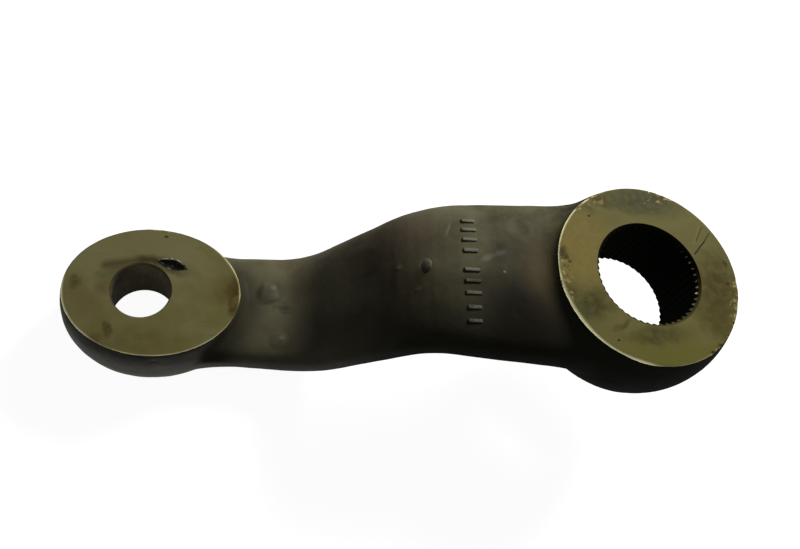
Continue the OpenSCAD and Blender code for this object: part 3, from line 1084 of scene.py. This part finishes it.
SMALL_FACE_MARKS = [
    ("spot", (183.4, 15.2, 2.0, 2.8, 25.0, 0.7), BROWN_STAIN, 0.80),
    ("spot", (188.5, 19.6, 3.2, 1.8, 35.0, 1.0), (0.055, 0.035, 0.018), 0.65),
    ("stroke", (186.5, -8.8, 171.0, -12.2, 2.6, 1.2), (0.038, 0.030, 0.010), 0.75),
    ("stroke", (175.0, -12.0, 165.0, -11.2, 2.6, 1.0), BROWN_STAIN, 0.75),
    ("spot", (184.0, -6.6, 5.0, 2.2, 20.0, 1.4), OIL_SHADE, 0.60),
    # Painted shadow: the next spot darkens the face round the gouge.
    ("spot", (164.0, -9.6, 6.0, 3.0, -14.0, 0.9), BLACK_STAIN, 0.70),
    ("spot", (157.0, -7.0, 5.0, 1.6, -14.0, 1.4), OIL_SHADE, 0.55),
    ("spot", (142.0, 1.0, 2.6, 8.5, 6.0, 0.8), (0.046, 0.032, 0.010), 0.95),
    ("spot", (146.5, -3.0, 3.5, 7.0, 0.0, 1.4), (0.070, 0.054, 0.018), 0.60),
    ("spot", (195.6, -2.2, 2.2, 2.4, 0.0, 1.0), (0.050, 0.042, 0.018), 0.70),
    ("spot", (192.0, 6.0, 6.0, 4.5, 0.0, 1.6), (0.090, 0.070, 0.034), 0.50),
    ("spot", (186.0, -0.5, 3.2, 3.2, 0.0, 1.3), (0.070, 0.050, 0.020), 0.55),
    ("spot", (170.0, -19.0, 20.0, 4.5, 0.0, 1.5), GREY_STEEL, 0.80),
    ("spot", (156.0, -12.0, 10.0, 8.0, -30.0, 1.6), (0.135, 0.124, 0.056), 0.60),
    ("spot", (172.0, 19.0, 16.0, 5.0, 0.0, 1.6), (0.080, 0.068, 0.023), 0.70),
    ("spot", (167.0, -21.4, 0.7, 0.5, 0.0, 0.7), BROWN_STAIN, 0.85),
    ("spot", (185.0, -17.5, 1.2, 0.5, 30.0, 0.8), WARM_STEEL, 0.60),
]
GEAR_SIDE_MARKS = [
    ("spot", (20.0, 15.0, 9.0, 6.0, 30.0, 1.4), OIL_GREY, 0.60),
    ("spot", (-22.0, -12.0, 8.0, 5.0, 70.0, 1.4), (0.075, 0.055, 0.026), 0.60),
    ("spot", (158.0, 6.0, 7.0, 5.0, 20.0, 1.4), OIL_GREY, 0.60),
    ("spot", (0.0, 0.0, 25.0, 25.0, 0.0, 0.5), OIL_RING, 0.55),
    ("spot", (STUD_X, 0.0, 16.0, 15.0, 0.0, 0.6), OIL_RING, 0.60),
    ("spot", (26.0, -14.0, 3.4, 1.8, 40.0, 1.0), BROWN_STAIN, 0.70),
    ("spot", (-9.0, 27.0, 4.0, 1.6, 10.0, 1.0), BROWN_STAIN, 0.55),
    ("spot", (185.0, -11.0, 3.0, 1.6, 60.0, 1.0), BROWN_STAIN, 0.60),
    ("stroke", (-29.0, 6.0, -23.0, 15.0, 0.5, 0.8), WORN_STEEL, 0.45),
    ("stroke", (18.0, -26.0, 27.0, -17.0, 0.4, 0.8), WORN_STEEL, 0.40),
    ("stroke", (148.0, -6.0, 157.0, -15.0, 0.4, 0.8), WORN_STEEL, 0.40),
    ("flakes", (0.0, 31.8, 9.0, 1.8, 0.0, 0.5), CHIP_PALE, 0.55),
]


def serrated_bore_finish():
    """Oily black teeth, with bare metal on the tips, painted glints on the tooth ends at one side
    of the top mouth, and that mouth browner on its near side as painted light.
    """
    bore = Finish("serrated_bore", Specular_IOR_Level=0.0, Coat_Weight=0.02, Coat_Roughness=0.4)
    radius = bore.vector_math("LENGTH", bore.flat(bore.place), output=1)
    grit = bore.grain(0.9, detail=3.0, shift=1.7)
    patch = bore.grain(6.0, detail=2.0, shift=8.8)
    tip = bore.rise(radius + bore.z * TOOTH_TAPER, TIP_R + 0.30, TIP_R + 0.05)
    mouth = bore.rise(bore.z, -2.6, -1.3)
    # Painted highlight: where the tooth ends at the top mouth catch the light, on one side only.
    glint_place = bore.spot(bore.place, -19.0, 5.5, 5.0, 4.0, 0.0, 0.9)
    glint_place = glint_place | bore.spot(bore.place, -19.0, 2.0, 6.0, 14.0, 0.0, 0.9) * 0.40
    turn = bore.math("ARCTAN2", bore.y, bore.x)
    crest = bore.rise(bore.math("COSINE", turn * TOOTH_COUNT, 0.0), -0.55, -0.92)
    edge = bore.rise(bore.z, -2.0, -1.5) * bore.rise(bore.z, -0.8, -1.2)
    glint = edge * glint_place * crest * bore.rise(grit + (patch - 0.5) * 0.8, 0.36, 0.60)
    # Painted light, in part: the top mouth is browner only on its near side, whose chamfer faces
    # the lamp, and stays black elsewhere.
    brown_lit_mouth = mouth * bore.rise(bore.y, -6.0, 8.0) * bore.rise(bore.x, 14.0, -6.0)
    # Bare metal on the tips, together with the painted glints.
    bare = glint | tip * bore.rise(grit, 0.60, 0.78) * 0.10
    colour = bore.mix(brown_lit_mouth * 0.75, BLACK_STAIN, MOUTH_BROWN)
    colour = bore.mix(bare, colour, TOOTH_BRIGHT)
    bore.feed("Base Color", colour)
    bore.feed("Metallic", bare * 0.7)
    bore.feed("Roughness", 0.50 - 0.12 * bare + 0.12 * grit)
    bore.bump(grit, 0.08, 0.30)
    return bore.material


def stud_bore_finish():
    """A reamed taper, brown-black with old oil, greyer where the stud has rubbed."""
    bore = Finish("stud_bore", Specular_IOR_Level=0.0, Coat_Weight=0.06, Coat_Roughness=0.4)
    band = bore.grain(5.0, detail=3.0, stretch=(1, 1, 2.5), shift=2.9)
    grit = bore.grain(0.8, detail=2.0, shift=6.6)
    rubbed = bore.rise(band, 0.40, 0.70)
    colour = bore.mix(rubbed, STUD_BROWN, STUD_GREY)
    lip = bore.rise(bore.z, SMALL_TOP - 1.6, SMALL_TOP - 0.3)
    colour = bore.mix(lip * 0.7, colour, STUD_LIP)
    caked = bore.rise(bore.x, STUD_X + 3.0, STUD_X + 8.5)
    caked = caked * bore.rise(bore.z, SMALL_TOP - 16.0, SMALL_TOP - 6.0)
    colour = bore.mix(caked * 0.85, colour, BROWN_STAIN)
    bore.feed("Base Color", colour)
    bore.feed("Roughness", 0.42 + 0.15 * grit)
    bore.bump(grit, 0.05, 0.25)
    return bore.material


def gouge_finish():
    """Torn metal gone black, with a bare lip on the side the tool left by."""
    torn = Finish("gouge", Specular_IOR_Level=0.05)
    grit = torn.grain(0.8, detail=3.0, shift=3.3)
    lip = torn.rise(torn.z, SMALL_TOP - 0.30, SMALL_TOP - 0.02)
    lip = lip * torn.rise(torn.y, GOUGE_AT[1], GOUGE_AT[1] - 1.2)
    patch = torn.rise(torn.grain(1.6, detail=3.0, shift=1.2), 0.52, 0.70)
    bare = patch * 0.35 | lip * (0.25 + 0.6 * torn.rise(grit, 0.40, 0.62))
    colour = torn.mix(bare, TORN_BLACK, TORN_BRIGHT)
    torn.feed("Base Color", colour)
    torn.feed("Metallic", 0.2 * bare)
    torn.feed("Roughness", 0.52 + 0.2 * grit)
    torn.bump(grit, 0.2, 0.6)
    return torn.material


# Making the arm

def machined(mesh, tools):
    """The blank with each tool's solid taken away from it or added to it."""
    work = shown("work", mesh)
    spent = []
    for operation, tool in tools:
        body = shown(tool.name, tool)
        cut = work.modifiers.new(tool.name, "BOOLEAN")
        cut.operation = operation
        cut.solver = "MANIFOLD"
        cut.object = body
        spent.append(body)
    done = settled(work)
    for body in spent:
        bpy.data.objects.remove(body)
    return done


# How a surface is told by the tool that left it: slack on a rolled edge and on a plane, how far a
# roll goes under its plane and outside its rim, and the margins round the bores and the gouge
ROLL_SLACK = 0.05
PLANE_SLACK = 0.01
ROLL_UNDER = 1.6
ROLL_OUTSIDE = 1.2
SERRATED_MARGIN = 1.6
STUD_MARGIN = 1.2
GOUGE_MARGIN = 1.9
GOUGE_SLACK = 0.02
SHARP_FROM = 32.0


def in_gouge(x, y, z):
    """Whether a place is on the gouge or its burr, off the face's plane."""
    turn = math.radians(-GOUGE_TURN)
    dx, dy = x - GOUGE_AT[0], y - GOUGE_AT[1]
    along = dx * math.cos(turn) - dy * math.sin(turn)
    across = dx * math.sin(turn) + dy * math.cos(turn)
    inside = (along / GOUGE_LONG) ** 2 + (across / GOUGE_WIDE) ** 2 < GOUGE_MARGIN
    off_plane = abs(z - SMALL_TOP) > GOUGE_SLACK
    return inside and off_plane and SMALL_TOP - GOUGE_DEEP * 1.5 < z < SMALL_TOP + BURR_HIGH * 2


def on_die_mark(x, y):
    """1 on top of a raised bar or the pip, 0 off them."""
    pip = 1 - smoothstep(0.5, 0.9, math.hypot(x - PIP_AT[0], y - PIP_AT[1]) / PIP_R)
    if abs(x - MARK_X) > MARK_LONG * 0.45:
        return pip
    near = min(abs(y - at) for at in MARK_Y)
    return max(pip, 1 - smoothstep(0.20, 0.42, near / MARK_WIDE))


def mark_wear(mesh):
    """Keeps how worn each point is, how far it tops a die mark, whose top is lightened as wear and
    painted highlight, and how far it faces up; and says which mill left it, or None.
    """
    count = len(mesh.vertices)
    rim, torn, proud, upper = np.zeros((4, count))
    milled = [None] * count
    for i, vertex in enumerate(mesh.vertices):
        x, y, z = vertex.co / MM
        upper[i] = smoothstep(-0.1, 0.3, vertex.normal.z)
        if vertex.normal.z > 0.6:
            proud[i] = on_die_mark(x, y)
        for face in FACES:
            out, degrees = face.offset(x, y)
            if abs(z - face.z) > ROLL_UNDER or out > ROLL_OUTSIDE:
                continue
            if abs((face.z - z) * face.up - face.sink(out, degrees)) < ROLL_SLACK:
                milled[i] = face.name
                rim[i] = face.roll(out, degrees) * face.wear(degrees)[2]
                torn[i] = smoothstep(0.03, 0.16, face.chip(degrees, out))
    for label, values in (("rim", rim), ("torn", torn), ("proud", proud), ("upper", upper)):
        mesh.attributes.new(label, "FLOAT", "POINT").data.foreach_set("value", values)
    return milled


def surface_of(polygon, milled):
    """The finish of a face, by the tool that left it."""
    x, y, z = polygon.center / MM
    mills = {milled[v] for v in polygon.vertices}
    if in_gouge(x, y, z):
        return "gouge"
    if len(mills) == 1 and None not in mills and abs(polygon.normal.z) > 0.3:
        mill = mills.pop()
        return "gear_side" if mill.endswith("foot") else mill
    if math.hypot(x, y) < MOUTH_R + SERRATED_MARGIN:
        return "serrated_bore"
    if math.hypot(x - STUD_X, y) < stud_radius(SMALL_FOOT) + STUD_MARGIN:
        return "stud_bore"
    return "forged_skin"


def sort_surfaces(mesh, finishes):
    """Gives each face its finish, and keeps how worn each rim is."""
    order = list(finishes)
    mesh.materials.clear()
    for finish in finishes.values():
        mesh.materials.append(finish)
    milled = mark_wear(mesh)
    slots = [order.index(surface_of(polygon, milled)) for polygon in mesh.polygons]
    mesh.polygons.foreach_set("material_index", np.array(slots, dtype=np.int32))
    mesh.polygons.foreach_set("use_smooth", np.ones(len(slots), dtype=bool))


def sharpen_borders(mesh):
    """Keeps the edge crisp wherever one finish meets another."""
    edges, faces = len(mesh.edges), len(mesh.polygons)
    around = np.empty(len(mesh.loops), dtype=np.int32)
    sizes, slots = np.empty(faces, dtype=np.int32), np.empty(faces, dtype=np.int32)
    mesh.loops.foreach_get("edge_index", around)
    mesh.polygons.foreach_get("loop_total", sizes)
    mesh.polygons.foreach_get("material_index", slots)
    slots = np.repeat(slots, sizes)
    least, most = np.full(edges, len(mesh.materials)), np.full(edges, -1)
    np.minimum.at(least, around, slots)
    np.maximum.at(most, around, slots)
    sharp = np.empty(edges, dtype=bool)
    mesh.edges.foreach_get("use_edge_sharp", sharp)
    mesh.edges.foreach_set("use_edge_sharp", sharp | (least != most))


def level_planes(mesh):
    """Shades each milled plane as truly flat, whatever slivers the cuts have left in it."""
    normals = np.zeros((len(mesh.loops), 3), dtype=np.float32)
    heights = np.array([vertex.co.z for vertex in mesh.vertices]) / MM
    for polygon in mesh.polygons:
        if mesh.materials[polygon.material_index].name.endswith("face"):
            levels = heights[list(polygon.vertices)]
            for face in FACES:
                if np.abs(levels - face.z).max() < PLANE_SLACK:
                    normals[list(polygon.loop_indices)] = (0, 0, face.up)
    mesh.normals_split_custom_set(normals)


def pitman_arm():
    """The finished forging, as one closed piece in place of its solid."""
    finishes = {
        "forged_skin": forged_skin_finish(),
        "big_top": milled_face_finish("big_eye_face", BIG_FACE_MARKS, DULL_STEEL),
        "small_top": milled_face_finish("small_eye_face", SMALL_FACE_MARKS, GREY_STEEL),
        "gear_side": milled_face_finish("gear_side_face", GEAR_SIDE_MARKS, GREY_STEEL),
        "serrated_bore": serrated_bore_finish(),
        "stud_bore": stud_bore_finish(),
        "gouge": gouge_finish(),
    }
    blank = uncut_blank()
    forge_skin(blank)
    skin = shown("skin", blank)
    marks = die_marks(skin, finishes["forged_skin"])
    bpy.data.objects.remove(skin)
    tools = [("UNION", marks)]
    tools += [("DIFFERENCE", face.cutter()) for face in FACES]
    tools += [
        ("DIFFERENCE", big_bore_tool()),
        ("DIFFERENCE", serration_broach(finishes["serrated_bore"])),
        ("DIFFERENCE", stud_bore_tool()),
        ("UNION", gouge_burr()),
        ("DIFFERENCE", gouge_tool()),
    ]
    mesh = machined(blank, tools)
    mesh.name = "pitman_arm_forging"
    sort_surfaces(mesh, finishes)
    mesh.set_sharp_from_angle(angle=math.radians(SHARP_FROM))
    sharpen_borders(mesh)
    level_planes(mesh)
    arm = shown("pitman_arm_forging", mesh)
    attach(arm, "root")
    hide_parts("pitman_arm")


# The stage

FLOOR_GREY = 0.17
FLOOR_GLOW = 0.95
FLOOR_REACH = 4000.0
FLOOR_GAP = 0.2
ROOM_GREY = 0.11

# The window's place, what it faces, and its side, in metres
WINDOW_AT = Vector((-0.47, -0.62, 0.56))
WINDOW_AIM = Vector((0.08, 0.0, -0.03))
WINDOW_SIDE = 0.34
WINDOW_WATTS = 17.0


def seen_straight(tree):
    """1 where the camera looks, also in a mirror-like surface or through glass."""
    rays = ("Is Camera Ray", "Is Glossy Ray", "Is Transmission Ray")
    straight, mirrored, through = (tree.add("ShaderNodeLightPath", output=ray) for ray in rays)
    return straight | mirrored | through


def floor_finish():
    """Plain white to look at, with the shadows kept, and a quiet grey in the light it returns."""
    paint = Finish("floor", Roughness=0.9, Specular_IOR_Level=0.0, Emission_Strength=FLOOR_GLOW)
    grey = (FLOOR_GREY,) * 3
    paint.feed("Base Color", grey)
    paint.feed("Emission Color", (1.0, 1.0, 1.0))
    plain = paint.add("ShaderNodeBsdfDiffuse", None, {"Color": grey})
    sockets = {0: seen_straight(paint), 1: plain, 2: Wire(paint, paint.shader.outputs[0])}
    both = paint.add("ShaderNodeMixShader", None, sockets)
    paint.join(both, paint.nodes.nodes["Material Output"].inputs["Surface"])
    return paint.material


def stage():
    """A wide pale floor under the small eye's lower face."""
    level = SMALL_FOOT - FLOOR_GAP
    sides = [(-1, -1), (1, -1), (1, 1), (-1, 1)]
    corners = [(x * FLOOR_REACH, y * FLOOR_REACH, level) for x, y in sides]
    mesh = bpy.data.meshes.new("floor")
    mesh.from_pydata(in_metres(corners), [], [(0, 1, 2, 3)])
    mesh.materials.append(floor_finish())
    shown("floor", mesh)


def light_it():
    """One large soft box low on the far side, in a dim room with white walls to look at."""
    light = bpy.data.lights.new("window", "AREA")
    light.size = WINDOW_SIDE
    light.energy = WINDOW_WATTS
    window = shown("window", light)
    window.location = WINDOW_AT
    window.rotation_mode = "QUATERNION"
    window.rotation_quaternion = (WINDOW_AIM - WINDOW_AT).to_track_quat("-Z", "Y")
    world = bpy.data.worlds.new("room")
    world.use_nodes = True
    room = Tree(world.node_tree)
    back = world.node_tree.nodes["Background"]
    room.join((1.0, 1.0, 1.0), back.inputs["Color"])
    room.join(ROOM_GREY + (1 - ROOM_GREY) * seen_straight(room), back.inputs["Strength"])
    bpy.context.scene.world = world


# The camera, as the photograph was taken, in metres, with its lens for a sensor of this width
SENSOR = 36.0
CAMERA_AT = Vector((0.150889, 0.118310, 0.232483))
CAMERA_RIGHT = Vector((-0.97207, 0.03929, 0.23138))
CAMERA_AHEAD = Vector((-0.22609, -0.42118, -0.87835))
LENS = 36.753


def camera():
    """The camera, squared up from where it looks and what lies to its right."""
    view = bpy.data.cameras.new("camera")
    view.sensor_fit = "HORIZONTAL"
    view.sensor_width = SENSOR
    view.lens = LENS
    view.clip_start, view.clip_end = 0.01, 20.0
    thing = shown("camera", view)
    ahead = CAMERA_AHEAD.normalized()
    right = (CAMERA_RIGHT - ahead * CAMERA_RIGHT.dot(ahead)).normalized()
    up = right.cross(ahead)
    turn = Matrix((right, up, -ahead)).transposed()
    thing.matrix_world = Matrix.Translation(CAMERA_AT) @ turn.to_4x4()
    bpy.context.scene.camera = thing


bpy.context.scene.view_settings.view_transform = "Standard"
camera()
pitman_arm()
stage()
light_it()
